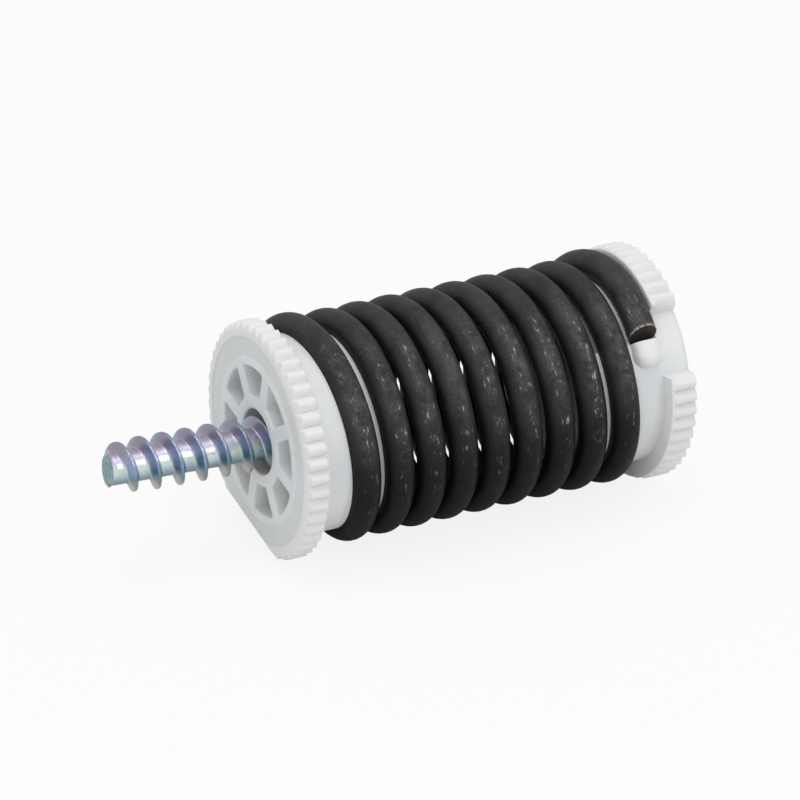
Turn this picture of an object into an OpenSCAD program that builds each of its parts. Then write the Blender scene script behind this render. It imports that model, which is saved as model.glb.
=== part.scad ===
// Coil-spring vibration damper: a helical spring screwed onto two ribbed plastic spigots.
// A thread-forming screw sits loose in the front spigot.
// Millimetres. X runs along the spring, from the screw's tip to the rear face, and Z is up.
// The row's origin is on the floor, under the middle of the whole length.

/* [Body] */
// length over both flange faces
body_l = 49.85; // [49.2:0.05:51]
// radius over the teeth of both flanges
tip_r = 13.93; // [13.8:0.01:14.2]
// radius at the bottom of the teeth
root_r = 13.05; // [12.9:0.01:13.2]
// radius of the smooth shoulder beside the wire
shoulder_r = 11.9; // [11.7:0.01:12]
// thickness of the front flange
front_flange_t = 3.0; // [2.4:0.1:3.2]
// thickness of the rear flange
rear_flange_t = 3.4; // [3.2:0.05:3.6]
// distance of the front flange's flat from the axis
flat_d = 11.6; // [11:0.1:13]

/* [Coil] */
// radius of the wire's centre line
coil_r = 11.67; // [11.65:0.01:11.8]
// radius of the wire
wire_r = 1.71; // [1.5:0.01:1.73]
// how far the wire springs outwards at its two ends
splay = 0.6; // [0:0.05:0.7]

/* [Spigot inside] */
// radius of the core that carries the spring
core_r = 9.9; // [9.7:0.01:9.93]
// radius of the thread ridge between the turns
ridge_r = 11.2; // [10.6:0.05:11.4]
// radius of the cup in the inner end
cup_r = 8.0; // [7:0.1:8.4]
// radius of the bore for the screw or the driver
bore_r = 3.85; // [3.8:0.01:3.95]
// length of the bore
hub_l = 7.5; // [7:0.1:8]
// depth of the pockets in the end faces
pocket_d = 5.0; // [2:0.1:5.5]
// width of the spokes between the pockets
spoke_w = 1.7; // [1.2:0.1:2]

/* [Screw] */
// radius over the thread
screw_r = 3.17; // [2.9:0.01:3.18]
// radius of the screw's core
screw_core_r = 1.9; // [1.7:0.01:2.1]
// distance from one turn of the thread to the next
screw_pitch = 2.81; // [2.4:0.01:3]
// length that stands out of the front face
screw_out = 18.4; // [14:0.1:22]
// radius of the head
head_r = 5.5; // [5:0.1:6]

/* [Hidden] */

// how far solids that join overlap, and how far cuts run past a face
lap = 0.2;
over = 1;
facets = 96;

// a tooth's outline: shares of the pitch from its middle, and of its height
teeth = 48;
tooth_a = 360 / teeth;
tooth_shape = [[-0.5, 0], [-0.4, 0.39], [-0.27, 0.82], [-0.1, 1], [0.1, 1], [0.27, 0.82], [0.4, 0.39]];

// the end faces
spokes = 8;
spoke_a = -31;
pocket_r1 = 5.4;
pocket_r2 = 8.87;
pocket_taper = 0.3;
rim_r1 = 9.92;
rim_r2 = 12.26;
rim_step = 0.12;

// barrels: the front one ends inside the spring, and the rear one starts there
front_end = 13.5;
rear_start = 36.2;
rear_wall = body_l - rear_flange_t;

// angles are measured about X from +Y towards +Z
flat_a = spoke_a - 46;
gap_a1 = 127.5;
gap_a2 = 165;
gap_r = shoulder_r + 0.05;

// the wire: stations along the helix, `per_turn` of them to a turn
per_turn = 28;
stations = 269;
step_a = 360 / per_turn;
wire_end_a = 139.5;
wire_turn0_a = 151.5;
wire_start_a = wire_end_a + 9 * 360 - stations * step_a;
wire_x0 = 7.84;
wire_pitch0 = 4.0;
wire_pitch_gain = 0.0165;
wire_lead = 0.64;
front_splay = 0.7;
wire_gap = 0.03;
wire_x_min = front_flange_t + wire_r + wire_gap;
wire_x_max = rear_wall - wire_r - wire_gap;
groove_r = wire_r + 0.08;
groove_a = 173;
ramp_gap = 0.4;
ramp_fade = 4;
wire_sides = 12;

// the stop that the wire's end meets
stop_a = 143.4;
stop_r = 13.4;
stop_w = 3.2;
stop_l = 1.3;
stop_x = rear_wall - 0.25 - stop_w;

// the screw lies loose on the bottom of its bore, a little askew
screw_at = [0.3, -0.32];
screw_turn = [2.14, -0.44];
tip_l = 0.4;
tip_r2 = 1.7;
seat_gap = 0.35;
head_t = 3.6;
head_rim_t = 2.4;
head_crown_r = 4.4;
recess_d = 2.2;
recess_r = 1.9;
lobes = 6;
lobe_r = 0.55;
thread_per_turn = 24;
thread_start = 0.22;
thread_start_a = -90;
thread_start_h = 0.4;
thread_end = 1.5;
thread_end_h = 0.2;
thread_taper = 0.2;
thread_taper_l = 0.62;
thread_base = 0.62;
thread_crest = 0.15;

x_mid = (body_l - screw_out) / 2;
axis_h = tip_r * cos(tooth_a * (0.5 + tooth_shape[3][0]));

// station k's place on the helix
function wire_a(k) = wire_start_a + k * step_a;
function wire_n(k) = (wire_a(k) - wire_turn0_a) / 360;
function step(t) = let (u = max(0, min(1, t))) u * u * (3 - 2 * u);
function first_end(k) = step(0.5 - 2 * wire_n(k));
function last_end(k) = step(2 * (k - stations) / per_turn + 1.4);
function wire_x(k) = let (n = wire_n(k))
    max(wire_x_min, min(wire_x_max,
        wire_x0 + wire_pitch0 * n + wire_pitch_gain * n * n - wire_lead * first_end(k)));
function wire_c(k) = coil_r + splay * (front_splay * first_end(k) + last_end(k));

function polar(r, a, x) = [r * cos(a), r * sin(a), x];

// side of the groove round the wire at station k, from the core outwards: side -1 is its
// front flank and side 1 its rear flank
function flank(k, side, r_top) =
    let (top = acos((r_top - wire_c(k)) / groove_r))
    concat(
        [[core_r - lap, wire_x(k) + side * groove_r * sin(groove_a)]],
        [for (i = [0:4]) let (b = groove_a + (top - groove_a) * i / 4)
            [wire_c(k) + groove_r * cos(b), wire_x(k) + side * groove_r * sin(b)]]);

// closed loop at station k between a front and a rear side with the same number of points
function section(k, front, rear) =
    let (last = len(rear) - 1)
    [for (p = concat(front, [for (i = [last:-1:0]) rear[i]])) polar(p[0], wire_a(k), p[1])];

// local Z lies along the spring, with local X across it and local Y up
module along_x() {
    translate([-x_mid, 0, axis_h])
        rotate([90, 0, 90])
            children();
}

// skin over a row of closed loops, all with the same even number of points; each runs from
// the axis outwards first, and then towards +Z
module skin(loops) {
    n = len(loops);
    m = len(loops[0]);
    polyhedron(
        points = [for (loop = loops) for (p = loop) p],
        faces = concat(
            [for (j = [0:m / 2 - 2]) for (f = [[m - 1 - j, j + 1, j], [m - 1 - j, m - 2 - j, j + 1]]) f],
            [for (i = [0:n - 2]) for (j = [0:m - 1])
                [i * m + j, i * m + (j + 1) % m, (i + 1) * m + j]],
            [for (i = [0:n - 2]) for (j = [0:m - 1])
                [i * m + (j + 1) % m, (i + 1) * m + (j + 1) % m, (i + 1) * m + j]],
            [for (j = [0:m / 2 - 2]) for (f = [[j, j + 1, m - 1 - j], [j + 1, m - 2 - j, m - 1 - j]])
                [for (v = f) (n - 1) * m + v]]),
        convexity = 10);
}

// outline of a toothed rim: rounded teeth, with a smooth stretch between two angles
module rim_outline(smooth1, smooth2) {
    polygon([for (t = [0:teeth - 1])
        let (mid = 270 + (t + 0.5) * tooth_a)
        let (plain = mid % 360 > smooth1 && mid % 360 < smooth2)
        for (p = tooth_shape)
            let (a = mid + p[0] * tooth_a)
            let (r = plain ? gap_r : root_r + (tip_r - root_r) * p[1])
            [r * cos(a), r * sin(a)]]);
}

// eight pockets between the spokes, sunk from a face at z = 0 towards +Z
module pockets() {
    difference() {
        rotate_extrude($fn = facets)
            polygon([
                [pocket_r1, -lap],
                [pocket_r2, -lap],
                [pocket_r2 - pocket_taper, pocket_d],
                [pocket_r1 + pocket_taper, pocket_d]]);
        for (i = [0:spokes / 2 - 1])
            rotate([0, 0, spoke_a + i * 360 / spokes])
                translate([-pocket_r2, -spoke_w / 2, -over])
                    cube([2 * pocket_r2, spoke_w, pocket_d + 2 * over]);
    }
}

// shallow ring sunk in an end face, between the rim and the raised middle
module face_ring() {
    difference() {
        translate([0, 0, -over])
            cylinder(r = rim_r2, h = over + rim_step, $fn = facets);
        translate([0, 0, -2 * over])
            cylinder(r = rim_r1, h = 4 * over, $fn = facets);
    }
}

// what both end faces have, seen from the face at z = 0
module face_cuts() {
    pockets();
    face_ring();
    translate([0, 0, -over])
        cylinder(r = bore_r, h = hub_l + 2 * over, $fn = facets);
}

// shoulder that fills the space from the front flange to the first turn; it stops just short
// of the full turn where it would meet itself
module front_ramp() {
    skin([for (k = concat([for (k = [0:per_turn - 1]) k], [per_turn - ramp_gap]))
        let (rear = flank(k, -1, shoulder_r))
        section(k, [for (p = rear) [p[0], front_flange_t - lap]], rear)]);
}

// shoulder that fills the space from the last turn to the rear flange, from the stop to
// where the wire nears the flange
module rear_ramp() {
    wall = rear_wall + lap;
    k1 = stations - per_turn + 1;
    skin([for (k = concat([k1 - ramp_gap], [for (k = [k1:stations - ramp_fade]) k]))
        let (front = flank(k, 1, shoulder_r))
        section(k, front, [for (p = front) [p[0], wall]])]);
}

// thread ridge between two turns, from station k1 to k2 of the turn behind it
module ridge(k1, k2) {
    skin([for (k = [k1:k2])
        section(k, flank(k - per_turn, 1, ridge_r), flank(k, -1, ridge_r))]);
}

// half-round block on the shoulder, with its flat side to the wire's end
module wire_stop() {
    rotate([0, 0, stop_a])
        translate([shoulder_r - 1, 0, stop_x + stop_w / 2])
            rotate([90, 0, 90])
                linear_extrude(stop_r - shoulder_r + 1)
                    union() {
                        translate([0, -stop_w / 2])
                            square([stop_l, stop_w]);
                        translate([stop_l, 0])
                            circle(r = stop_w / 2, $fn = facets);
                    }
}

module front_spigot() {
    color([0.9, 0.91, 0.92])
        along_x()
            difference() {
                union() {
                    linear_extrude(front_flange_t)
                        difference() {
                            rim_outline(-1, -1);
                            rotate([0, 0, flat_a])
                                translate([flat_d, -tip_r])
                                    square([tip_r, 2 * tip_r]);
                        }
                    cylinder(r = core_r, h = front_end, $fn = facets);
                    front_ramp();
                    ridge(per_turn, 2 * per_turn - 1);
                }
                face_cuts();
                translate([0, 0, hub_l])
                    cylinder(r = cup_r, h = front_end, $fn = facets);
            }
}

module rear_spigot() {
    color([0.9, 0.91, 0.92])
        along_x()
            difference() {
                union() {
                    translate([0, 0, rear_wall])
                        linear_extrude(rear_flange_t)
                            rim_outline(gap_a1, gap_a2);
                    translate([0, 0, rear_start])
                        cylinder(r = core_r, h = body_l - rear_start, $fn = facets);
                    rear_ramp();
                    ridge(stations - per_turn + 1, stations);
                    wire_stop();
                }
                translate([0, 0, body_l])
                    mirror([0, 0, 1])
                        face_cuts();
                translate([0, 0, rear_start - over])
                    cylinder(r = cup_r, h = body_l - hub_l - rear_start + over, $fn = facets);
            }
}

module coil_spring() {
    color([0.13, 0.13, 0.14])
        along_x()
            skin([for (k = [0:stations])
                [for (i = [0:wire_sides - 1])
                    let (b = 360 * i / wire_sides)
                    polar(wire_c(k) + wire_r * cos(b), wire_a(k), wire_x(k) + wire_r * sin(b))]]);
}

// thread that is lower towards the tip and fades under the head; z = 0 is under the head
module screw_thread(length) {
    count = floor((length - thread_start - thread_end) / screw_pitch * thread_per_turn);
    skin([for (i = [0:count])
        let (turns = i / thread_per_turn)
        let (a = thread_start_a + 360 * turns)
        let (z = -length + thread_start + screw_pitch * turns)
        let (rise = min(1, thread_start_h + turns))
        let (fall = min(1, thread_end_h + count / thread_per_turn - turns))
        let (full = screw_r - thread_taper * max(0, 1 - i / count / thread_taper_l))
        let (r = screw_core_r + (full - screw_core_r) * rise * fall)
        [polar(screw_core_r - lap, a, z - thread_base),
            polar(r, a, z - thread_crest),
            polar(r, a, z + thread_crest),
            polar(screw_core_r - lap, a, z + thread_base)]]);
}

module screw() {
    length = screw_out + hub_l + seat_gap;
    color([0.7, 0.72, 0.74])
        along_x()
            translate([screw_at[0], screw_at[1], 0])
                rotate([screw_turn[0], screw_turn[1], 0])
                    translate([0, 0, hub_l + seat_gap])
                        difference() {
                            union() {
                                rotate_extrude($fn = facets)
                                    polygon([
                                        [0, -length],
                                        [tip_r2, -length],
                                        [screw_core_r, -length + tip_l],
                                        [screw_core_r, 0],
                                        [head_r, 0],
                                        [head_r, head_rim_t],
                                        [head_crown_r, head_t],
                                        [0, head_t]]);
                                screw_thread(length);
                            }
                            star_recess();
                            translate([0, 0, -length - over])
                                cylinder(r = screw_r, h = over, $fn = facets);
                        }
}

// lobed driver recess in the head
module star_recess() {
    translate([0, 0, head_t - recess_d])
        linear_extrude(recess_d + over)
            union() {
                circle(r = recess_r, $fn = facets);
                for (i = [0:lobes - 1])
                    rotate([0, 0, 360 / lobes * i])
                        translate([recess_r, 0])
                            circle(r = lobe_r, $fn = facets);
            }
}

front_spigot();
coil_spring();
rear_spigot();
screw();
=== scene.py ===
"""Vibration damper: a black coil spring on two toothed white spigots, and a loose screw."""
import math
from collections import namedtuple

import bmesh
import bpy
import numpy as np
from mathutils import Matrix, Vector


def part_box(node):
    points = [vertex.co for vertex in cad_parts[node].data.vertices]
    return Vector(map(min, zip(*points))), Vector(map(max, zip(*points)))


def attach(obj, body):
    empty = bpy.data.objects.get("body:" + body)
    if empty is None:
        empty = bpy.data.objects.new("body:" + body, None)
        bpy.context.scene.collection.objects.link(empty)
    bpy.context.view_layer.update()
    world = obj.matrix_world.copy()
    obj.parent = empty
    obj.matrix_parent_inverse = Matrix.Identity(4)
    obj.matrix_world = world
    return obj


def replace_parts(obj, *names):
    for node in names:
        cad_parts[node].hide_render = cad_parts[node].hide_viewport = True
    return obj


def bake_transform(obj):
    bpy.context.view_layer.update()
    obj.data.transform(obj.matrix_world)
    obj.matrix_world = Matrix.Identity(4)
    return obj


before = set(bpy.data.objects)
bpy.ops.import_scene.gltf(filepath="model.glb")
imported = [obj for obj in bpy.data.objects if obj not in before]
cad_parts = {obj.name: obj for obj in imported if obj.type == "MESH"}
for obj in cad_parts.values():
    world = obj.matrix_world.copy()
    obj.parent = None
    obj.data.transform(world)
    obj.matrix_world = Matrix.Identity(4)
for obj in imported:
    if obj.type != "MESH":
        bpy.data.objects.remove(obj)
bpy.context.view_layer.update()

MM = 0.001

# Sizes are in millimetres. x runs from the front face, and angles turn about X from +Y to +Z.
BODY_L = 49.85

# flanges and their teeth
TIP_R = 13.93
ROOT_R = 13.1
TEETH = 48
TOOTH_A = 360 / TEETH
TOOTH_TURN = 270
TOOTH_STEPS = 10
TOOTH_POWER = 0.5
FRONT_FLANGE_T = 3.0
REAR_FLANGE_T = 3.4
REAR_WALL = BODY_L - REAR_FLANGE_T
# a flange's teeth rise over so much from its face and from its inner side, and at the inner
# side the grooves between them are filled to this share of their height
FRONT_NOSES = (0.5, 0.3, 0.0)
REAR_NOSES = (0.35, 0.6, 0.7)
FACE_CORNER = 0.3
BACK_CORNER = 0.25
BACK_STEP = 0.01
BACK_SLOPE = 0.1
BACK_RING_W = 0.2
RIM_SHARES = (0.85, 0.7, 0.55, 0.4, 0.3, 0.2)

# the rear rim's stretch without teeth
GAP_A = (127.5, 165.0)
GAP_FADE = 1.0
GAP_MARGIN = 2.0
GAP_FINE = 0.4

# end faces: hub, spokes, pockets and a recessed ring
BORE_R = 3.85
HUB_L = 7.5
HUB_EDGE = 0.1
MOUTH = 0.25
ROUND_STEPS = 5
SPOKES = 8
SPOKE_A = -31.0
SPOKE_W = 1.7
POCKET_R = (5.4, 8.87)
POCKET_D = 5.0
POCKET_TAPER = 0.3
POCKET_CORNER = 0.38
POCKET_FLOOR_CORNER = 0.4
POCKET_STEPS = {"outer": 14, "inner": 10, "spoke": 6, "corner": 6}
RING_R = (9.92, 12.26)
RING_D = 0.12
RING_LIP = 0.05
RING_OUTER_SLOPE = 0.08
# the ring's inner edge: radius beyond RING_R[0], and share of the depth
RING_INNER_SLOPE = ((0.12, 1.0), (0.02, 0.3), (-0.06, 0.0))

# the front flange's flat
FLAT_D = 11.6
FLAT_A = SPOKE_A - 46
FLAT_REACH = 60
FLAT_FINE_REACH = 38
FLAT_FINE = 0.5

# barrels
SHOULDER_R = 11.9
SAG = 0.42
SAG_A = 125.0
CORE_R = 9.9
CORE_EDGE = 0.2
RIDGE_R = 11.2
CUP_R = 8.0
CUP_FILLET = 0.3
CUP_EDGE = 0.15
FRONT_END = 13.5
REAR_START = 36.2
FRONT_RIDGE_N = 1.33
REAR_RIDGE_N = 7.0
BARREL_EDGE = 0.12
GROOVE_LIP = 0.012
# rows of a barrel's skin between its marks, up to the last one, and then to the flange
ROW_COUNTS = (2, 12, 3, 14, 1)
FRONT_LAST_ROWS = 5
REAR_LAST_ROWS = 30
ROW_GAP = 0.03
ROW_MIN = 0.004
ROW_SPARE = 0.01

# the wire: n counts its turns from the first one's point at WIRE_TURN0_A
COIL_R = 11.67
WIRE_R = 1.71
WIRE_SIDES = 28
WIRE_SECTIONS = 866
WIRE_TURN0_A = 151.5
WIRE_END_A = 139.5
WIRE_STEPS = 269
WIRE_PER_TURN = 28
LAST_PASS_N = 9
PASSES = range(-1, 11)
WIRE_END_N = LAST_PASS_N + (WIRE_END_A - WIRE_TURN0_A) / 360
WIRE_START_N = WIRE_END_N - WIRE_STEPS / WIRE_PER_TURN
WIRE_X0 = 7.84
WIRE_PITCH0 = 4.0
WIRE_PITCH_GAIN = 0.0165
WIRE_LEAD = 0.64
SPLAY = 0.6
FRONT_SPLAY = 0.7
FIRST_END_N = (-0.25, 0.25)
LAST_END_N = (-0.7, -0.2)
# how far the turns lie off the even helix, twice and once a turn, and the turns this grows over
WIRE_BOW = 0.48
WIRE_LEAN = -0.68
LEAN_N = (0.25, 0.9)
WIRE_GAP = 0.03
WIRE_X_MIN = FRONT_FLANGE_T + WIRE_R + WIRE_GAP
WIRE_X_MAX = REAR_WALL - WIRE_R - WIRE_GAP
WIRE_SLANT = 22.0
WIRE_SLANT_N = 0.08
WIRE_STOP_GAP_N = 0.0002
GROOVE_R = WIRE_R + 0.04

# the stop for the wire's last end
STOP_A = 143.4
STOP_FINE = 0.03
STOP_N = LAST_PASS_N + (STOP_A - WIRE_TURN0_A) / 360
STOP_R = 13.4
STOP_W = 3.45
STOP_L = 1.3
STOP_X = REAR_WALL - STOP_W
STOP_BACK = 0.01
STOP_EDGE = 1.25
STOP_LIP = 0.2
STOP_LIP_BACK = 0.03
STOP_LIP_H = 0.88

# the screw
SCREW_R = 3.17
SCREW_CORE_R = 1.9
SCREW_SIDES = 72
SCREW_STEP = 0.055
SCREW_PITCH = 2.85
SCREW_OUT = 18.4
SCREW_TIP_L = 0.4
SCREW_TIP_R = 1.7
SCREW_AT = (0.3, -0.32)
SCREW_TURN = (2.14, -0.44)
SCREW_SEAT_GAP = 0.35
THREAD_START = 0.08
THREAD_START_A = -90.0
THREAD_START_H = 0.4
THREAD_END = 1.5
THREAD_END_H = 0.2
THREAD_TAPER = 0.03
THREAD_TAPER_SHARE = 0.62
THREAD_WORN = 0.2
THREAD_WORN_N = 0.2
THREAD_CREST = 0.16
THREAD_FLANK = 0.6
THREAD_POWER = 1.25
THREAD_MARGIN = 0.01
HEAD_R = 5.5
HEAD_T = 3.6
HEAD_PROFILE = ((HEAD_R - 0.2, 0), (HEAD_R, 0.2), (HEAD_R, HEAD_T * 0.5),
                (HEAD_R * 0.97, HEAD_T * 0.68), (HEAD_R * 0.9, HEAD_T * 0.86),
                (HEAD_R * 0.76, HEAD_T))
RECESS_R = 1.98
RECESS_LOBES = 6
RECESS_LOBE_H = 0.5
RECESS_POWER = 0.7
RECESS_D = 2.2
RECESS_EDGE = 0.15
RECESS_TAPER = 0.05
MIDDLE_R = 0.05
TIP_RADII = (MIDDLE_R, SCREW_TIP_R - 0.14, SCREW_TIP_R - 0.1)
TIP_EDGE = 0.06
SHANK_GAPS = (0.1, 0.2)
NECK_PROFILE = ((SCREW_CORE_R + 0.15, -0.12), (SCREW_CORE_R + 0.35, 0))
# looks of the screw's tip and head, stored in place of the thread's height
TIP_LOOK = -1.0
HEAD_LOOK = 0.3

# edges sharper than so many degrees are kept sharp, and points nearer than this in metres merged
CREASE = 35
WIRE_CREASE = 40
SCREW_CREASE = 42
MERGED = 1e-7

# colours, linear
NYLON_COOL = (0.76, 0.785, 0.80)
NYLON_LIGHT = (0.82, 0.835, 0.845)
NYLON_RIM = (0.86, 0.86, 0.84)
NYLON_RING = (0.68, 0.71, 0.71)
# painted shade in the pockets
NYLON_POCKET_SHADE = (0.46, 0.445, 0.375)
NYLON_SPECK = (0.62, 0.62, 0.6)
STEEL_BLACK = (0.028, 0.0272, 0.0292)
STEEL_GREY = (0.047, 0.0455, 0.048)
# dust, and a painted sheen on the wire's outer side
STEEL_DUST_SHEEN = (0.105, 0.094, 0.084)
# rubbed metal and a painted sheen along the outer crest
STEEL_RUBBED_SHEEN = (0.14, 0.133, 0.126)
STEEL_SHADE = (0.0045, 0.0043, 0.0046)
STEEL_BARE = (0.5, 0.46, 0.41)
STEEL_CUT = (0.034, 0.031, 0.022)
# bare metal burr and painted highlight at the cut end
STEEL_BURR_HIGHLIGHT = (0.5, 0.45, 0.38)
# colours of the screw from its lower side, 0, to its upper side, 1: passivation tints with painted
# reflections, highlight and shade, that is dark teal on the lower flanks, a bright band on the core
# and a dark lower edge
ZINC_CORE_TINT_AND_REFLECTION = ((0.0, (0.20, 0.17, 0.26)), (0.14, (0.30, 0.35, 0.42)), (0.32, (0.37, 0.50, 0.55)),
             (0.5, (0.60, 0.76, 0.78)), (0.64, (0.86, 0.95, 0.86)), (0.78, (0.74, 0.74, 0.86)),
             (1.0, (0.52, 0.48, 0.60)))
ZINC_BLADE_TINT_AND_REFLECTION = ((0.0, (0.50, 0.47, 0.44)), (0.18, (0.46, 0.44, 0.42)), (0.34, (0.22, 0.31, 0.34)),
              (0.46, (0.17, 0.31, 0.40)), (0.6, (0.34, 0.40, 0.60)), (0.84, (0.36, 0.44, 0.60)),
              (1.0, (0.42, 0.41, 0.50)))
ZINC_FOOT = (0.60, 0.38, 0.48)
ZINC_TIP = ((0.30, 0.46, 0.49), (0.15, 0.29, 0.33))
ZINC_PIT = (0.2, 0.24, 0.28)

# the photograph's view: place from the front face's middle, and focal length in pixels
CAMERA_AT = (-240.8, -516.4, 280.4)
CAMERA_RIGHT = (0.8939, -0.4483, 0.0)
CAMERA_UP = (0.1949, 0.3889, 0.9005)
CAMERA_FOCAL = 5580.6
CAMERA_CLIP = (0.01, 20)
PHOTO_W = 800
SENSOR_W = 36

# the studio, in metres and watts
FLOOR_HALF = 3.0
FLOOR_Z = -0.0001
FLOOR_COLOUR = (0.9, 0.9, 0.9)
FLOOR_GLOW = 0.86
WHITE = (1.0, 1.0, 1.0)
WORLD_LIGHT = 0.56
WORLD_GLOSS = 0.05
LAMP_AIM = (0.005, 0, 0.012)
LAMPS = (("top_lamp", (-0.03, -0.05, 0.45), (0.35, 0.3), 0.62),
         ("key_lamp", (0.25, -0.43, 0.33), (0.13, 0.3), 0.45),
         ("left_lamp", (-0.5, -0.25, 0.3), (0.4, 0.4), 0.35))

Side = namedtuple("Side", "face_x inward flange_t barrel_l last_rows noses")
FRONT = Side(0.0, 1, FRONT_FLANGE_T, FRONT_END, FRONT_LAST_ROWS, FRONT_NOSES)
REAR = Side(BODY_L, -1, REAR_FLANGE_T, BODY_L - REAR_START, REAR_LAST_ROWS, REAR_NOSES)

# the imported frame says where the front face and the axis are
rear_low, rear_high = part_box("rear_spigot")
ORIGIN = Vector((rear_high.x - BODY_L * MM, (rear_low.y + rear_high.y) / 2,
                 (rear_low.z + rear_high.z) / 2))


def placed(points):
    """Points in the body's millimetres, as metres in the row frame."""
    return np.asarray(points, float) * MM + np.array(ORIGIN)


def smooth_step(low, high, value):
    """0 below low and 1 above high, smooth between them."""
    t = np.clip((value - low) / (high - low), 0, 1)
    return t * t * (3 - 2 * t)


def ease_out(value):
    """0 below 0 and 1 above 1, steep at first and then level."""
    t = np.clip(value, 0, 1)
    return t * (2 - t)


def swell(degrees):
    """0 at 0 degrees and 1 at 180 degrees, along a cosine."""
    return 0.5 - 0.5 * np.cos(np.radians(degrees))


def turned_from(middle, angles):
    """The angles as differences from middle, between -180 and 180."""
    return (angles - middle + 180) % 360 - 180


def direction(degrees):
    a = math.radians(degrees)
    return np.array([math.cos(a), math.sin(a)])


def linked(name, data):
    """A new object in the scene."""
    made = bpy.data.objects.new(name, data)
    bpy.context.scene.collection.objects.link(made)
    return made


def shade(bm, crease):
    """Smooth faces, with sharp edges where they meet at more than crease degrees."""
    for face in bm.faces:
        face.smooth = True
    for edge in bm.edges:
        edge.smooth = edge.calc_face_angle(math.pi) < math.radians(crease)


class Shell:
    """A closed skin made loop by loop."""

    def __init__(self):
        self.points = []
        self.faces = []

    def loop(self, points):
        first = len(self.points)
        self.points.extend(points)
        return list(range(first, len(self.points)))

    def tint_and_reflection(self, loops):
        """Quads between each loop and the next, which has the same number of points."""
        rings = [self.loop(points) for points in loops]
        for a, b in zip(rings, rings[1:]):
            n = len(a)
            self.faces += [(a[i], a[(i + 1) % n], b[(i + 1) % n], b[i]) for i in range(n)]
        return rings

    def piece(self, name, material, open_normal=None, crease=CREASE):
        """The mesh object. With open_normal, the flat face between the open loops is filled,
        and the bore and pockets in it stay open."""
        mesh = bpy.data.meshes.new(name)
        mesh.from_pydata([tuple(p) for p in placed(self.points)], [], self.faces)
        bm = bmesh.new()
        bm.from_mesh(mesh)
        bmesh.ops.remove_doubles(bm, verts=bm.verts, dist=MERGED)
        if open_normal is not None:
            open_edges = [e for e in bm.edges if e.is_boundary]
            bmesh.ops.triangle_fill(bm, use_beauty=True, edges=open_edges, normal=open_normal)
        bmesh.ops.recalc_face_normals(bm, faces=bm.faces)
        shade(bm, crease)
        bm.to_mesh(mesh)
        bm.free()
        mesh.materials.append(material)
        return linked(name, mesh)


def first_end(n):
    """1 at the wire's first end, which climbs the front shoulder, and 0 beyond it."""
    return smooth_step(*FIRST_END_N, -n)


def last_end(n):
    """1 at the wire's last end, which climbs the rear shoulder, and 0 before it."""
    return smooth_step(*LAST_END_N, n - WIRE_END_N)


def wire_x(n):
    """x of the wire's middle."""
    x = WIRE_X0 + WIRE_PITCH0 * n + WIRE_PITCH_GAIN * n * n - WIRE_LEAD * first_end(n)
    shift = WIRE_BOW * swell(720 * n) + WIRE_LEAN * swell(360 * n)
    return np.clip(x + shift * smooth_step(*LEAN_N, n), WIRE_X_MIN, WIRE_X_MAX)


def wire_c(n):
    """The wire's middle's distance from the axis."""
    return COIL_R + SPLAY * (FRONT_SPLAY * first_end(n) + last_end(n))


def groove(angles, x, radius):
    """radius, cut back where the wire passes at these angles."""
    result = radius.copy()
    for turn in PASSES:
        n = (angles - WIRE_TURN0_A) / 360 + turn
        off = np.abs(x - wire_x(n))
        inside = (n > WIRE_START_N) & (n < STOP_N) & (off < GROOVE_R)
        cut = wire_c(n) - np.sqrt(np.maximum(GROOVE_R ** 2 - off ** 2, 0))
        result = np.where(inside, np.minimum(result, cut), result)
    return result


def first_turn(angles):
    """n of the wire's first pass at these angles."""
    n = (angles - WIRE_TURN0_A) / 360
    return n - np.floor(n - WIRE_START_N)


def last_turn(angles):
    """n of the wire's last pass at these angles."""
    n = (angles - WIRE_TURN0_A) / 360
    return n - np.floor(n - STOP_N) - 1


def shoulder(angles):
    """The shoulder behind the wire: a little flatter on its lower side."""
    return SHOULDER_R - SAG * swell(angles - SAG_A)


def front_barrel(angles, x):
    """Outer radius of the front barrel: the shoulder before the wire, a ridge between two
    turns, and the core beyond."""
    first = first_turn(angles)
    top = np.where(x < wire_x(first), shoulder(angles), RIDGE_R)
    ridge_to = wire_x(np.minimum(first + 1, FRONT_RIDGE_N))
    top = np.where(x > ridge_to, CORE_R, top)
    return np.maximum(CORE_R, groove(angles, x, top))


def stop_height(angles, x):
    """How far the stop stands above the shoulder: half a dome, flat towards the wire's end."""
    along = np.radians(turned_from(STOP_A, angles)) * SHOULDER_R
    half = STOP_W / 2
    across = np.abs(x - (STOP_X + half))
    off = np.where(along > STOP_L, np.hypot(along - STOP_L, across), across)
    edge = np.clip((half - off) / STOP_EDGE, 0, 1)
    lip = np.clip((along + STOP_LIP_BACK) / STOP_LIP, 0, 1)
    dome = np.sqrt(1 - (1 - edge) ** 2)
    dome = dome * (STOP_LIP_H + (1 - STOP_LIP_H) * np.sqrt(1 - (1 - lip) ** 2))
    return np.where(along > -STOP_BACK, (STOP_R - SHOULDER_R) * dome, 0)


def rear_barrel(angles, x):
    """Outer radius of the rear barrel: the core, a ridge between two turns, and behind the
    wire the shoulder with its stop."""
    last = last_turn(angles)
    behind = x > wire_x(last)
    top = np.where(behind, shoulder(angles), RIDGE_R)
    ridge_from = wire_x(np.maximum(last - 1, REAR_RIDGE_N))
    top = np.where(x < ridge_from, CORE_R, top)
    radius = np.maximum(CORE_R, groove(angles, x, top))
    stop = stop_height(angles, x)
    return np.where(behind & (stop > 0), shoulder(angles) + stop, radius)


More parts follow.
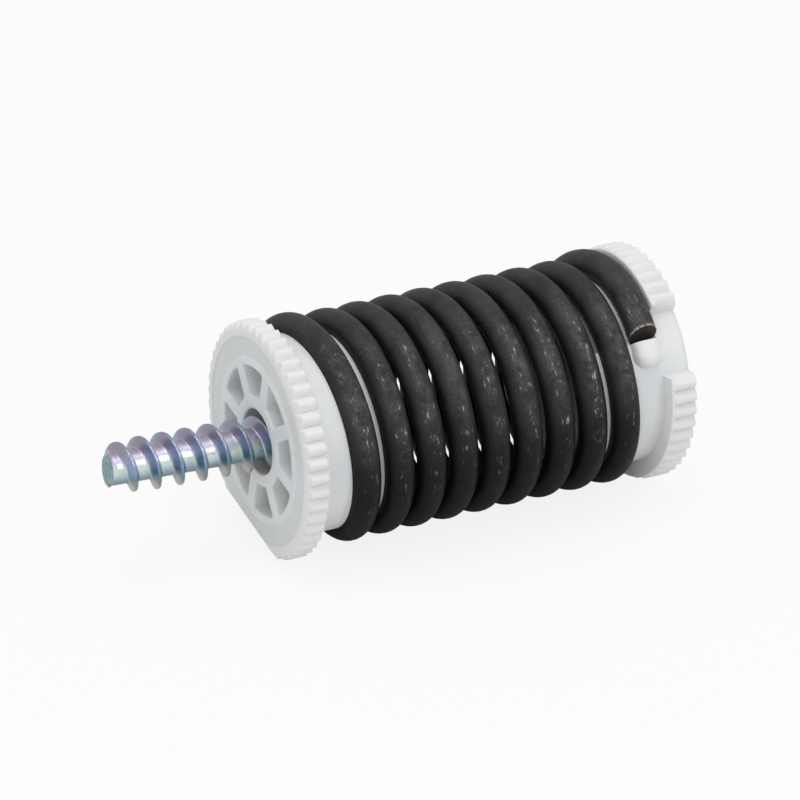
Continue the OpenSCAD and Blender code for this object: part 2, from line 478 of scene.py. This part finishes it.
def toothed(angles, height, filled):
    """Radius with the teeth at a share of their height, and with the grooves between them
    filled to a share of it."""
    off = np.abs(((angles - TOOTH_TURN) / TOOTH_A) % 1 - 0.5) * 2
    tooth = (0.5 + 0.5 * np.cos(off * math.pi)) ** TOOTH_POWER
    return ROOT_R + (TIP_R - ROOT_R) * np.maximum(tooth * height, filled)


def front_rim(angles, height, filled):
    """Outline of the front flange."""
    radius = toothed(angles, height, filled)
    off = np.abs(turned_from(FLAT_A, angles))
    flat = FLAT_D / np.cos(np.radians(np.minimum(off, FLAT_REACH)))
    return np.where(off < FLAT_REACH, np.minimum(radius, flat), radius)


def rear_gap(angles):
    """1 in the stretch of the rear rim that has no teeth, 0 elsewhere."""
    turned = angles % 360
    begun = smooth_step(GAP_A[0], GAP_A[0] + GAP_FADE, turned)
    return begun * (1 - smooth_step(GAP_A[1] - GAP_FADE, GAP_A[1], turned))


def rear_rim(angles, height, filled):
    """Outline of the rear flange."""
    gap = rear_gap(angles)
    return toothed(angles, height, filled) * (1 - gap) + shoulder(angles) * gap


def barrel_rows(angles, side):
    """x of each row of a barrel's skin, from its inner end to the flange; rows follow the wire."""
    near_r = math.sqrt(GROOVE_R ** 2 - (RIDGE_R - COIL_R) ** 2)
    out = -side.inward
    turn = last_turn(angles) if side is REAR else first_turn(angles)
    wire, next_wire = wire_x(turn), wire_x(turn - out)
    start = side.face_x - out * side.barrel_l
    wall = side.face_x - out * side.flange_t
    marks = [np.full(angles.shape, start + out * BARREL_EDGE),
             next_wire - out * GROOVE_R, next_wire + out * near_r,
             wire - out * near_r, wire + out * (GROOVE_R - GROOVE_LIP),
             wire + out * (GROOVE_R + GROOVE_LIP), np.full(angles.shape, wall - out * ROW_GAP)]
    counts = (*ROW_COUNTS, side.last_rows)
    rows = [marks[0]]
    for i, count in enumerate(counts):
        low = rows[-1] + out * ROW_MIN * count
        limit = out * wall - ROW_GAP - ROW_SPARE * (len(counts) - 1 - i)
        high = out * np.maximum(out * low, np.minimum(out * marks[i + 1], limit))
        rows += [rows[-1] + (high - rows[-1]) * (k + 1) / count for k in range(count)]
    return rows


def around(radius, angles, x):
    """Points round the axis: radius and x may change with the angle."""
    a = np.radians(angles)
    radius = np.broadcast_to(radius, a.shape)
    x = np.broadcast_to(x, a.shape)
    return np.stack([x, radius * np.cos(a), radius * np.sin(a)], 1)


def rounding(size):
    """Steps of a quarter round as pairs from (0, size) to (size, 0)."""
    return [(size * math.sin(a), size * math.cos(a))
            for a in np.linspace(0, math.pi / 2, ROUND_STEPS)]


def pocket_outline(spoke_a, inset):
    """Outline of the pocket after a spoke, drawn in by inset, with round corners."""
    deep = inset + POCKET_CORNER
    half = SPOKE_W / 2 + deep
    outer, inner = POCKET_R[1] - deep, POCKET_R[0] + deep
    next_a = spoke_a + 360 / SPOKES
    outer_off = math.degrees(math.asin(half / outer))
    inner_off = math.degrees(math.asin(half / inner))
    outer_a = (spoke_a + outer_off, next_a - outer_off)
    inner_a = (next_a - inner_off, spoke_a + inner_off)
    points = []

    def add(centre, normal):
        points.append(centre + POCKET_CORNER * direction(normal))

    def arc(radius, ends, facing, count):
        for k in range(count):
            a = ends[0] + (ends[1] - ends[0]) * k / count
            add(radius * direction(a), a + facing)

    def corner(radius, angle, start, end):
        count = POCKET_STEPS["corner"]
        for k in range(count):
            add(radius * direction(angle), start + (end - start) * k / count)

    def along_spoke(start, end, normal):
        count = POCKET_STEPS["spoke"]
        for k in range(count):
            add(start + (end - start) * k / count, normal)

    arc(outer, outer_a, 0, POCKET_STEPS["outer"])
    corner(outer, outer_a[1], outer_a[1], next_a + 90)
    along_spoke(outer * direction(outer_a[1]), inner * direction(inner_a[0]), next_a + 90)
    corner(inner, inner_a[0], next_a + 90, inner_a[0] + 180)
    arc(inner, inner_a, 180, POCKET_STEPS["inner"])
    corner(inner, inner_a[1], inner_a[1] + 180, spoke_a + 270)
    along_spoke(inner * direction(inner_a[1]), outer * direction(outer_a[0]), spoke_a + 270)
    corner(outer, outer_a[0], spoke_a + 270, outer_a[0] + 360)
    return np.array(points)


def pocket_loops(spoke_a, side):
    """Loops down a pocket, from its round mouth to the round edge of its floor."""
    walls = [(a - MOUTH, MOUTH - b) for a, b in rounding(MOUTH)]
    walls.append((POCKET_TAPER * 0.5, POCKET_D * 0.5))
    foot = POCKET_D - POCKET_FLOOR_CORNER
    walls += [(POCKET_TAPER + POCKET_FLOOR_CORNER - b, foot + a)
              for a, b in rounding(POCKET_FLOOR_CORNER)]
    loops = []
    for inset, depth in walls:
        outline = pocket_outline(spoke_a, inset)
        x = np.full((len(outline), 1), side.face_x + side.inward * depth)
        loops.append(np.hstack([x, outline]))
    return loops


def spigot_angles(side):
    """Angles of the points round a spigot: even ones, and finer ones at its own features."""
    even = np.linspace(0, 360, TEETH * TOOTH_STEPS, endpoint=False)
    if side is REAR:
        gap = np.arange(GAP_A[0] - GAP_MARGIN, GAP_A[1] + GAP_MARGIN, GAP_FINE)
        fine = np.concatenate([gap, [STOP_A - STOP_FINE, STOP_A + STOP_FINE]])
    else:
        fine = np.arange(FLAT_A - FLAT_FINE_REACH, FLAT_A + FLAT_FINE_REACH, FLAT_FINE)
    return np.unique(np.round(np.concatenate([even, fine % 360]), 3))


def spigot(name, material, side):
    """One moulded spigot. Depths are counted from its end face, inwards along the spring."""
    rim, barrel = (rear_rim, rear_barrel) if side is REAR else (front_rim, front_barrel)
    flange_t, barrel_l = side.flange_t, side.barrel_l
    rise_out, rise_in, fill = side.noses
    angles = spigot_angles(side)
    smooth = rear_gap(angles) if side is REAR else np.zeros(angles.shape)
    rows = barrel_rows(angles, side)
    last_row = side.inward * (rows[-1] - side.face_x)

    def ring(radius, depth):
        return around(radius, angles, side.face_x + side.inward * depth)

    def back_ring(radius, depth, below):
        """A ring on the flange's inner side; where there are no teeth it stays on the
        shoulder, a little below the barrel's last row."""
        depths = depth * (1 - smooth) + (last_row - below) * smooth
        return ring(radius * (1 - smooth) + shoulder(angles) * smooth, depths)

    def rim_r(depth, inset=0.0):
        """Radius of the rim: its teeth fade out towards both faces."""
        outer = ease_out(depth / rise_out)
        inner = ease_out((flange_t - depth) / rise_in)
        return rim(angles, outer * inner, fill * (1 - inner)) - inset

    loops = [ring(BORE_R + MOUTH - a, MOUTH - b) for a, b in rounding(MOUTH)]
    loops += [ring(radius, depth) for radius, depth in (
        (BORE_R, HUB_L - HUB_EDGE), (BORE_R + HUB_EDGE, HUB_L),
        (CUP_R - CUP_FILLET, HUB_L), (CUP_R, HUB_L + CUP_FILLET),
        (CUP_R, barrel_l - CUP_EDGE), (CUP_R + CUP_EDGE, barrel_l),
        (CORE_R - CORE_EDGE, barrel_l))]
    loops += [around(barrel(angles, x), angles, x) for x in rows]
    loops.append(back_ring(shoulder(angles) + BACK_RING_W, flange_t, ROW_MIN))
    for a, b in rounding(BACK_CORNER):
        loops.append(back_ring(rim_r(flange_t, BACK_CORNER - a), flange_t - BACK_CORNER + b,
                               BACK_STEP + a * BACK_SLOPE))
    for share in RIM_SHARES:
        depth = FACE_CORNER + (flange_t - FACE_CORNER - BACK_CORNER) * share
        loops.append(ring(rim_r(depth), depth))
    for a, b in rounding(FACE_CORNER):
        depth = FACE_CORNER - a
        loops.append(ring(rim_r(depth, FACE_CORNER - b), depth))
    ring_r = np.minimum(RING_R[1], rim_r(0, FACE_CORNER) - RING_LIP)
    loops += [ring(ring_r, 0), ring(ring_r - RING_OUTER_SLOPE, RING_D)]
    loops += [ring(RING_R[0] + beyond, RING_D * share) for beyond, share in RING_INNER_SLOPE]
    shell = Shell()
    shell.tint_and_reflection(loops)
    for k in range(SPOKES):
        rings = shell.tint_and_reflection(pocket_loops(SPOKE_A + k * 360 / SPOKES, side))
        shell.faces.append(tuple(rings[-1]))
    return shell.piece(name, material, open_normal=(-side.inward, 0, 0))


class Value:
    """A node socket that takes part in sums: each operator adds a Math node."""

    def __init__(self, graph, socket):
        self.graph = graph
        self.socket = socket

    def call(self, operation, other=0.0):
        return self.graph.node("ShaderNodeMath", {0: self, 1: other}, operation=operation)

    def __add__(self, other):
        return self.call("ADD", other)

    def __radd__(self, other):
        return self.call("ADD", other)

    def __sub__(self, other):
        return self.call("SUBTRACT", other)

    def __rsub__(self, other):
        return self.graph.node("ShaderNodeMath", {0: other, 1: self}, operation="SUBTRACT")

    def __mul__(self, other):
        return self.call("MULTIPLY", other)

    def __truediv__(self, other):
        return self.call("DIVIDE", other)

    def step(self, low, high):
        """0 below low and 1 above high, smooth between them."""
        inputs = {"Value": self, "From Min": low, "From Max": high}
        return self.graph.node("ShaderNodeMapRange", inputs, interpolation_type="SMOOTHSTEP")


class Graph:
    """A node tree, built with plain calls."""

    def __init__(self, tree):
        self.tree = tree

    def node(self, kind, inputs=None, output=0, **settings):
        made = self.tree.nodes.new(kind)
        for name, value in settings.items():
            setattr(made, name, value)
        for name, value in (inputs or {}).items():
            self.feed(made.inputs[name], value)
        return Value(self, made.outputs[output])

    def feed(self, socket, value):
        if isinstance(value, Value):
            self.tree.links.new(value.socket, socket)
        elif isinstance(value, tuple) and socket.type == "RGBA":
            socket.default_value = (*value, 1.0)
        else:
            socket.default_value = value

    def mix(self, share, first, second):
        """first where share is 0 and second where it is 1, as colours."""
        inputs = {0: share, 6: first, 7: second}
        return self.node("ShaderNodeMix", inputs, output=2, data_type="RGBA")

    def ramp(self, stops, value):
        """The colour at value, from stops that are pairs of a place and a colour."""
        made = self.tree.nodes.new("ShaderNodeValToRGB")
        elements = made.color_ramp.elements
        while len(elements) < len(stops):
            elements.new(0.5)
        for element, (place, colour) in zip(elements, stops):
            element.position = place
            element.color = (*colour, 1.0)
        self.feed(made.inputs[0], value)
        return Value(self, made.outputs[0])

    def noise(self, vector, scale, detail, roughness=0.5):
        inputs = {"Vector": vector, "Scale": scale, "Detail": detail, "Roughness": roughness}
        return self.node("ShaderNodeTexNoise", inputs)

    def vector(self, x, y, z):
        return self.node("ShaderNodeCombineXYZ", {0: x, 1: y, 2: z})

    def attribute(self, name):
        return self.node("ShaderNodeAttribute", output=2, attribute_name=name)


class Look(Graph):
    """A Principled material: set() gives its sockets constants or values of its node tree."""

    def __init__(self, name):
        self.material = bpy.data.materials.new(name)
        self.material.use_nodes = True
        super().__init__(self.material.node_tree)
        self.shader = self.tree.nodes["Principled BSDF"]

    def set(self, socket, value):
        self.feed(self.shader.inputs[socket], value)

    def set_bumps(self, strength, distance, height):
        inputs = {"Strength": strength, "Distance": distance, "Height": height}
        self.set("Normal", self.node("ShaderNodeBump", inputs))

    def places(self):
        """The object coordinates, their x and y, the height over the axis, and the distance
        from the axis."""
        place = self.node("ShaderNodeTexCoord", output=3)
        made = self.tree.nodes.new("ShaderNodeSeparateXYZ")
        self.feed(made.inputs[0], place)
        x, y, z = [Value(self, socket) for socket in made.outputs]
        height = z - ORIGIN.z
        return place, x, y, height, (y * y + height * height).call("SQRT")


def white_nylon(name, side):
    """Moulded nylon: cool white, with a warmer toothed rim and painted shade in the pockets."""
    look = Look(name)
    look.set("Subsurface Weight", 0.12)
    look.set("Subsurface Radius", (1.0, 1.0, 1.0))
    look.set("Subsurface Scale", 0.0006)
    place, x, _, _, radius = look.places()
    depth = (x - (ORIGIN.x + side.face_x * MM)) * side.inward
    clouds = look.noise(place, 160, 3)
    grain = look.noise(place, 4200, 2)
    specks = look.noise(place, 900, 4).step(0.66, 0.74)

    def beyond(edge, fade, before=0.0):
        """1 outside a radius, 0 inside it."""
        return radius.step((edge - before) * MM, (edge + fade) * MM)

    rim = beyond(RING_R[1], 0.1, 0.1)
    ring = beyond(RING_R[0], 0.12) * (1.0 - rim) * (1.0 - depth.step(0.2 * MM, 0.6 * MM))
    # painted shade: the pockets darken to a warm grey towards their floors
    pocket = depth.step(0.3 * MM, POCKET_D * 0.8 * MM) * (1.0 - beyond(POCKET_R[1], 0.4))
    tint = look.mix(clouds.step(0.3, 0.7), NYLON_COOL, NYLON_LIGHT)
    for share, colour in ((rim * 0.7, NYLON_RIM), (ring * 0.5, NYLON_RING),
                          (pocket * 0.65, NYLON_POCKET_SHADE), (specks * 0.12, NYLON_SPECK)):
        tint = look.mix(share, tint, colour)
    look.set("Base Color", tint)
    look.set("Roughness", 0.4 + clouds * 0.12 + grain * 0.06)
    look.set_bumps(0.12, 0.02 * MM, grain * 0.5 + look.noise(place, 1100, 3))
    return look.material


def wire_level(share):
    """Distance from the axis, in metres, at a share of the wire's radius outside its middle."""
    return (COIL_R + share * WIRE_R) * MM


def oiled_spring_steel():
    """Near-black oiled wire, rubbed to specks of bare brownish metal on the coil's outer side, with
    painted shade below and between the turns and a painted sheen on the outer side.
    """
    look = Look("oiled_spring_steel")
    look.set("Specular IOR Level", 0.16)
    place, x, y, height, radius = look.places()
    along = look.attribute("along")
    stretched = look.vector(along * 75.0, x * 3400.0, radius * 3400.0)
    scratches = look.noise(stretched, 1.0, 3, 0.6)
    clouds = look.noise(place, 260, 4, 0.6)
    spots = look.noise(place, 700, 3, 0.6)
    fine = look.noise(place, 3300, 3, 0.7)
    grit = look.noise(place, 5200, 2, 0.6)

    # the outer side is rubbed and carries a painted sheen, most on the side facing -Y, towards the
    # camera
    facing = (y * -1.0 / radius).step(0.1, 0.9)
    rubbed_and_sheen = radius.step(wire_level(0.66), wire_level(0.99)) * (facing * 0.8 + 0.2)
    crest = radius.step(wire_level(0.8), wire_level(0.985)) * facing
    # the painted sheen and the specks fade towards the lower side
    crest = crest * (height.step(-6.0 * MM, 3.0 * MM) * 0.85 + 0.15)
    specks = crest * spots.step(0.47, 0.62) * scratches.step(0.55, 0.68)
    # dust, lighter on the rubbed outer side, where it also stands for a painted sheen
    dust_and_sheen = (clouds * 0.5 + grit * 0.5).step(0.42, 0.62) * fine.step(0.35, 0.7)
    dust_and_sheen = (rubbed_and_sheen * 0.7 + 0.3) * dust_and_sheen

    # painted shade: the lower side and the sides between the turns are darker
    upper = height.step(-3.5 * MM, 8.5 * MM) * 0.95 + 0.05
    outer = radius.step(wire_level(-0.2), wire_level(0.92)) * 0.85 + 0.15

    # the cut end, and round it a bright burr of bare metal with a painted highlight
    cap = along.step(STOP_N - 0.0012, STOP_N - 0.0006)
    burr_highlight = along.step(STOP_N - 0.006, STOP_N - 0.002) * (1.0 - cap) * fine.step(0.4, 0.55)

    tint = look.mix((clouds * 0.65 + grit * 0.35).step(0.4, 0.6), STEEL_BLACK, STEEL_GREY)
    tint = look.mix(dust_and_sheen * 0.55, tint, STEEL_DUST_SHEEN)
    # painted sheen, with rubbing: a lighter band along the outer crest
    tint = look.mix(crest * spots.step(0.35, 0.6) * 0.35, tint, STEEL_RUBBED_SHEEN)
    # painted shade where the upper and outer masks fall off
    tint = look.mix(upper * outer, STEEL_SHADE, tint)
    tint = look.mix(specks * (upper * 0.4 + 0.6), tint, STEEL_BARE)
    tint = look.mix(cap, tint, STEEL_CUT)
    # bare metal burr with a painted highlight on the cut's rim
    look.set("Base Color", look.mix(burr_highlight * 0.8, tint, STEEL_BURR_HIGHLIGHT))
    look.set("Metallic", 0.04 + specks * 0.6)
    look.set("Roughness", 0.46 + clouds * 0.12 - specks * 0.1 - rubbed_and_sheen * 0.04)
    look.set_bumps(0.4, 0.04 * MM, fine * 0.7 + grit * 0.3 + clouds)
    return look.material


def zinc_plate():
    """Bright zinc with the blue, pink and green tints of its passivation, and painted reflections,
    highlight and shade that follow the screw's lower and upper sides.
    """
    look = Look("zinc_plate")
    look.set("Metallic", 1.0)
    place = look.places()[0]
    height = look.attribute("thread_height")
    clouds = look.noise(place, 420, 2)
    fine = look.noise(place, 3000, 3)
    rise = look.attribute("thread_rise") * 0.5 + 0.5 + (clouds - 0.5) * 0.4
    # painted reflections, highlight and shade: the colour follows the side of the screw, from lower
    # to upper
    core = look.ramp(ZINC_CORE_TINT_AND_REFLECTION, rise)
    blade = look.ramp(ZINC_BLADE_TINT_AND_REFLECTION, rise)
    tint_and_reflection = look.mix(height.step(0.06, 0.3), core, blade)
    foot = height.step(0.02, 0.08) * (1.0 - height.step(0.12, 0.26)) * rise.step(0.5, 0.8)
    tint_and_reflection = look.mix(foot * 0.4, tint_and_reflection, ZINC_FOOT)
    tip = look.mix(fine.step(0.4, 0.62), *ZINC_TIP)
    tint_and_reflection = look.mix((height * -1.0).step(0.2, 0.9), tint_and_reflection, tip)
    look.set("Base Color", look.mix(fine.step(0.6, 0.72) * 0.45, tint_and_reflection, ZINC_PIT))
    look.set("Roughness", 0.22 + clouds * 0.16 + fine * 0.1)
    look.set_bumps(0.3, 0.04 * MM, fine)
    return look.material


def coil_tree():
    """Geometry nodes for the spring: points laid along the helix, swept into a round wire."""
    tree = bpy.data.node_groups.new("coil_spring_wire", "GeometryNodeTree")
    sizes = {"Wire radius": WIRE_R, "Coil radius": COIL_R, "Start turn": WIRE_START_N,
             "End turn": STOP_N - WIRE_STOP_GAP_N, "Sections": float(WIRE_SECTIONS),
             "First place": WIRE_X0, "Pitch": WIRE_PITCH0, "Pitch gain": WIRE_PITCH_GAIN,
             "Lead": WIRE_LEAD, "Bow": WIRE_BOW, "Lean": WIRE_LEAN,
             "Nearest place": WIRE_X_MIN, "Furthest place": WIRE_X_MAX, "Splay": SPLAY}
    add_socket = tree.interface.new_socket
    for label, value in sizes.items():
        socket = add_socket(label, in_out="INPUT", socket_type="NodeSocketFloat")
        socket.default_value = value
    finish = add_socket("Material", in_out="INPUT", socket_type="NodeSocketMaterial")
    add_socket("Geometry", in_out="OUTPUT", socket_type="NodeSocketGeometry")
    graph = Graph(tree)
    given = tree.nodes.new("NodeGroupInput")
    size = {label: Value(graph, given.outputs[label]) for label in (*sizes, "Material")}

    def swelling(degrees):
        return 0.5 - degrees.call("RADIANS").call("COSINE") * 0.5

    # the same path as wire_x and wire_c; the count, one more than the sections, is cut to a
    # whole number, and the half keeps it from falling one short
    line = graph.node("GeometryNodeMeshLine", {"Count": size["Sections"] + 1.5})
    share = graph.node("GeometryNodeInputIndex") / size["Sections"]
    n = size["Start turn"] + (size["End turn"] - size["Start turn"]) * share
    first = (n * -1.0).step(*FIRST_END_N)
    last = (n - WIRE_END_N).step(*LAST_END_N)
    x = size["First place"] + size["Pitch"] * n + size["Pitch gain"] * n * n
    x = x - size["Lead"] * first
    shift = size["Bow"] * swelling(n * 720.0) + size["Lean"] * swelling(n * 360.0)
    x = x + shift * n.step(*LEAN_N)
    x = x.call("MAXIMUM", size["Nearest place"]).call("MINIMUM", size["Furthest place"])
    radius = size["Coil radius"] + size["Splay"] * (first * FRONT_SPLAY + last)
    turn = (n * 360.0 + WIRE_TURN0_A).call("RADIANS")
    place = graph.vector(x * MM + ORIGIN.x, radius * turn.call("COSINE") * MM + ORIGIN.y,
                         radius * turn.call("SINE") * MM + ORIGIN.z)

    line = graph.node("GeometryNodeSetPosition", {"Geometry": line, "Position": place})
    line = graph.node("GeometryNodeStoreNamedAttribute",
                      {"Geometry": line, "Name": "along", "Value": n},
                      data_type="FLOAT", domain="POINT")
    path = graph.node("GeometryNodeMeshToCurve", {"Mesh": line})
    section = graph.node("GeometryNodeCurvePrimitiveCircle",
                         {"Resolution": WIRE_SIDES, "Radius": size["Wire radius"] * MM})
    wire = graph.node("GeometryNodeCurveToMesh",
                      {"Curve": path, "Profile Curve": section, "Fill Caps": True})
    wire = graph.node("GeometryNodeRealizeInstances", {"Geometry": wire})
    wire = graph.node("GeometryNodeSetMaterial", {"Geometry": wire, "Material": size["Material"]})
    out = tree.nodes.new("NodeGroupOutput")
    graph.feed(out.inputs["Geometry"], wire)
    return tree, finish.identifier


def coil_spring(steel):
    """The spring's wire, as a plain mesh."""
    tree, material_input = coil_tree()
    source = linked("coil_source", bpy.data.meshes.new("coil_source"))
    modifier = source.modifiers.new("wire", "NODES")
    modifier.node_group = tree
    modifier[material_input] = steel
    evaluated = source.evaluated_get(bpy.context.evaluated_depsgraph_get())
    mesh = bpy.data.meshes.new_from_object(evaluated)
    bpy.data.objects.remove(source)
    shear_wire_end(mesh)
    bm = bmesh.new()
    bm.from_mesh(mesh)
    shade(bm, WIRE_CREASE)
    bm.to_mesh(mesh)
    bm.free()
    return linked("coil_spring_wire", mesh)


def shear_wire_end(mesh):
    """The wire was cut at a slant: its outer side ends before its inner side."""
    n = np.zeros(len(mesh.vertices), np.float32)
    mesh.attributes["along"].data.foreach_get("value", n)
    co = np.array([v.co for v in mesh.vertices])
    local = (co - np.array(ORIGIN)) / MM
    angle = np.arctan2(local[:, 2], local[:, 1])
    radius = np.hypot(local[:, 1], local[:, 2])
    share = smooth_step(STOP_N - WIRE_SLANT_N, STOP_N, n)
    back = (radius - wire_c(n) + WIRE_R) * math.tan(math.radians(WIRE_SLANT)) * share
    turned = angle - back / radius
    co[:, 1] = ORIGIN.y + radius * np.cos(turned) * MM
    co[:, 2] = ORIGIN.z + radius * np.sin(turned) * MM
    mesh.vertices.foreach_set("co", co.astype(np.float32).ravel())


def thread(z, angles, length):
    """Crest radius over the core, and share of it that is reached, at z round the screw."""
    first, last = -length + THREAD_START, -THREAD_END
    part = (angles - THREAD_START_A) % 360 / 360
    nearest = np.round((z - first) / SCREW_PITCH - part)
    centre = first + SCREW_PITCH * (nearest + part)
    turns = (centre - first) / SCREW_PITCH
    begun = np.clip(THREAD_START_H + turns, 0, 1)
    ended = np.clip(THREAD_END_H + (last - centre) / SCREW_PITCH, 0, 1)
    outside = (centre < first - THREAD_MARGIN) | (centre > last + THREAD_MARGIN)
    grown = np.where(outside, 0, begun * ended)
    share = (centre - first) / (last - first)
    taper = THREAD_TAPER * np.clip(1 - share / THREAD_TAPER_SHARE, 0, 1)
    # the tongue one turn from the start is worn
    worn = THREAD_WORN * np.exp(-((turns - 1) / THREAD_WORN_N) ** 2)
    off = np.clip((np.abs(z - centre) - THREAD_CREST) / THREAD_FLANK, 0, 1)
    return SCREW_R - taper - worn - SCREW_CORE_R, (1 - off) ** THREAD_POWER * grown


def screw(zinc):
    """The thread-forming screw: z = 0 is under its head, and the tip is at -length."""
    length = SCREW_OUT + HUB_L + SCREW_SEAT_GAP
    angles = np.linspace(0, 360, SCREW_SIDES, endpoint=False)
    a = np.radians(angles)
    loops, heights, rises = [], [], []

    def ring(radius, z, height=0.0):
        radius = np.broadcast_to(radius, a.shape)
        loops.append(np.stack([radius * np.cos(a), radius * np.sin(a), np.full(a.shape, z)], 1))
        heights.extend(np.broadcast_to(height, a.shape))
        rises.extend(np.sin(a))

    for radius in TIP_RADII:
        ring(radius, -length, TIP_LOOK)
    ring(SCREW_TIP_R, -length + TIP_EDGE)
    for z in np.arange(-length + SHANK_GAPS[0], -SHANK_GAPS[1], SCREW_STEP):
        blunt = max(0, 1 - (z + length) / SCREW_TIP_L)
        crest, height = thread(z, angles, length)
        core = SCREW_CORE_R - (SCREW_CORE_R - SCREW_TIP_R) * blunt
        ring(core + crest * height, z, height)
    for radius, z in NECK_PROFILE:
        ring(radius, z)
    for radius, z in HEAD_PROFILE:
        ring(radius, z, HEAD_LOOK)
    lobes = np.maximum(0, np.cos(np.radians(angles * RECESS_LOBES))) ** RECESS_POWER
    star = RECESS_R + RECESS_LOBE_H * lobes
    for wider, depth in ((RECESS_EDGE, 0), (0, RECESS_EDGE), (-RECESS_TAPER, RECESS_D)):
        ring(star + wider, HEAD_T - depth, HEAD_LOOK)
    ring(MIDDLE_R, HEAD_T - RECESS_D, HEAD_LOOK)

    across, up = [math.radians(degrees) for degrees in SCREW_TURN]
    turn = np.array(Matrix.Rotation(up, 3, "Y") @ Matrix.Rotation(across, 3, "X"))
    seat = (0, 0, HUB_L + SCREW_SEAT_GAP)
    tilted = [(points + seat) @ turn.T + (*SCREW_AT, 0) for points in loops]
    shell = Shell()
    rings = shell.tint_and_reflection([points[:, [2, 0, 1]] for points in tilted])
    shell.faces += [tuple(rings[0]), tuple(rings[-1])]
    piece = shell.piece("thread_forming_screw", zinc, crease=SCREW_CREASE)
    for name, values in (("thread_height", heights), ("thread_rise", rises)):
        stored = piece.data.attributes.new(name, "FLOAT", "POINT")
        stored.data.foreach_set("value", np.array(values, np.float32))
    return piece


def camera():
    """The photograph's view: a long lens from the front left, looking a little down."""
    right, up = Vector(CAMERA_RIGHT), Vector(CAMERA_UP)
    back = right.cross(up).normalized()
    up = back.cross(right).normalized()
    turned = Matrix((right, up, back)).transposed().to_4x4()
    turned.translation = Vector(CAMERA_AT) * MM + ORIGIN
    data = bpy.data.cameras.new("photo_camera")
    data.sensor_width = SENSOR_W
    data.lens = CAMERA_FOCAL / PHOTO_W * SENSOR_W
    data.clip_start, data.clip_end = CAMERA_CLIP
    made = linked("photo_camera", data)
    made.matrix_world = turned
    bpy.context.scene.camera = made


def white_floor():
    """The floor: close to plain white for the camera, with soft shadows."""
    corners = [(x * FLOOR_HALF, y * FLOOR_HALF, 0) for x, y in ((-1, -1), (1, -1), (1, 1), (-1, 1))]
    mesh = bpy.data.meshes.new("floor")
    mesh.from_pydata(corners, [], [(0, 1, 2, 3)])
    floor = linked("floor", mesh)
    floor.location.z = FLOOR_Z
    finish = bpy.data.materials.new("white_floor")
    finish.use_nodes = True
    nodes = finish.node_tree.nodes
    nodes.remove(nodes["Principled BSDF"])
    graph = Graph(finish.node_tree)
    seen = graph.node("ShaderNodeLightPath")
    paint = graph.node("ShaderNodeBsdfDiffuse", {"Color": FLOOR_COLOUR})
    glow = graph.node("ShaderNodeEmission", {"Color": WHITE, "Strength": 1.0})
    both = graph.node("ShaderNodeMixShader", {0: seen * FLOOR_GLOW, 1: paint, 2: glow})
    graph.feed(nodes["Material Output"].inputs["Surface"], both)
    mesh.materials.append(finish)


def white_surroundings():
    """Even light from all round, and plain white for the camera."""
    world = bpy.data.worlds.new("studio")
    bpy.context.scene.world = world
    world.use_nodes = True
    graph = Graph(world.node_tree)
    path = world.node_tree.nodes.new("ShaderNodeLightPath")
    camera_ray, glossy_ray, clear_ray = [Value(graph, path.outputs[name]) for name in (
        "Is Camera Ray", "Is Glossy Ray", "Is Transmission Ray")]
    shown = (camera_ray + clear_ray).call("MINIMUM", 1.0)
    lit = world.node_tree.nodes["Background"]
    graph.feed(lit.inputs["Color"], WHITE)
    strength = WORLD_LIGHT + shown * (1.0 - WORLD_LIGHT) + glossy_ray * WORLD_GLOSS
    graph.feed(lit.inputs["Strength"], strength)


def lamps():
    """Broad lamps above and at the left, and a narrow one at the front right."""
    for name, place, size, power in LAMPS:
        data = bpy.data.lights.new(name, "AREA")
        data.shape = "RECTANGLE"
        data.size, data.size_y = size
        data.energy = power
        made = linked(name, data)
        made.location = place
        aim = (Vector(LAMP_AIM) - Vector(place)).to_track_quat("-Z", "Y")
        made.rotation_euler = aim.to_euler()


def main():
    bpy.context.scene.view_settings.view_transform = "Standard"
    camera()
    white_floor()
    white_surroundings()
    lamps()
    front = spigot("front_spigot_moulding", white_nylon("front_nylon", FRONT), FRONT)
    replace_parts(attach(front, "front_end"), "front_spigot")
    rear = spigot("rear_spigot_moulding", white_nylon("rear_nylon", REAR), REAR)
    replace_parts(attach(rear, "rear_end"), "rear_spigot")
    loose_screw = screw(zinc_plate())
    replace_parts(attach(loose_screw, "front_end"), "screw")
    wire = coil_spring(oiled_spring_steel())
    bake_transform(wire)
    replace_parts(wire, "coil_spring")


main()
